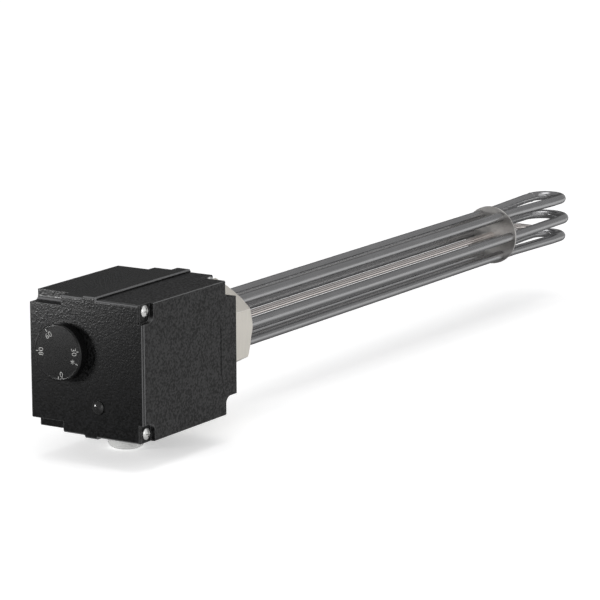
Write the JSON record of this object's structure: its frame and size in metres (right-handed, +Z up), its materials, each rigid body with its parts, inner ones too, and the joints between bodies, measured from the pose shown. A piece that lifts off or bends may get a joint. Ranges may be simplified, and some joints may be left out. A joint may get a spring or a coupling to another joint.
{
  "type": "screw-in immersion heater",
  "caption": "Screw-in immersion heater: a boxed thermostat head with a dial and a pilot lamp, a hexagon fitting and hairpin tubes held by a spacer disc.",
  "frame": {"origin": "centre of the fitting's sealing face, on the thread's axis", "axes": "+Y along the tubes away from the head, +Z up, the dial faces -Y"},
  "size_m": [0.0926, 0.667, 0.1166],
  "materials": {
    "housing_plastic": "fine grained",
    "cover_plastic": "fine grained",
    "knob_plastic": "satin",
    "zinc_steel": "zinc plated",
    "lamp_lens": "glossy, dark",
    "gland_plastic": "light grey, smooth",
    "seal_rubber": "matt",
    "nickel_brass": "satin nickel plate",
    "element_steel": "drawn, semi-bright",
    "sensor_steel": "bright drawn",
    "disc_steel": "rolled sheet",
    "seal_ceramic": "glazed",
    "inner_steel": "bright",
    "inner_brass": "plain",
    "inner_copper": "drawn",
    "inner_plastic": "moulded",
    "block_plastic": "moulded",
    "live_insulation": "smooth, brown",
    "neutral_insulation": "smooth, blue",
    "earth_insulation": "smooth, green and yellow",
    "lead_insulation": "smooth, white"
  },
  "bodies": {
    "heater": {"housing": "housing_plastic", "cover": "cover_plastic", "cover_screws": "zinc_steel", "thermostat_yoke": "inner_steel", "thermostat_body": "inner_plastic", "thermostat_blades": "inner_brass", "push_ons": "inner_brass", "thermostat_screws": "zinc_steel", "lamp_lens": "lamp_lens", "lamp_nut": "inner_steel", "lamp_body": "inner_plastic", "gland_body": "gland_plastic", "gland_oring": "seal_rubber", "gland_seal": "seal_rubber", "gland_nut": "gland_plastic", "gland_locknut": "gland_plastic", "hex_fitting": "nickel_brass", "flange_gasket": "seal_rubber", "flange_screws": "zinc_steel", "earth_tag": "inner_steel", "element_top": "element_steel", "element_middle": "element_steel", "element_bottom": "element_steel", "end_seals": "seal_ceramic", "terminal_studs": "inner_steel", "element_links": "inner_brass", "ring_tags": "inner_brass", "stud_nuts": "inner_steel", "spacer_disc": "disc_steel", "sensor_pocket": "sensor_steel", "sensor_bulb": "inner_copper", "terminal_block": "block_plastic", "clamp_screws": "zinc_steel", "block_screw": "zinc_steel", "line_wire": "live_insulation", "load_wire": "live_insulation", "neutral_wire": "neutral_insulation", "earth_wire": "earth_insulation", "lamp_leads": "lead_insulation"},
    "dial": {"knob": "knob_plastic", "thermostat_spindle": "inner_brass"}
  },
  "joints": [
    {"name": "dial_turn", "type": "hinge", "parent": "heater", "child": "dial", "pos_m": [-0.0172, -0.1608, 0.0095], "axis": [0, 1, 0], "range_deg": [-180, 90]}
  ]
}
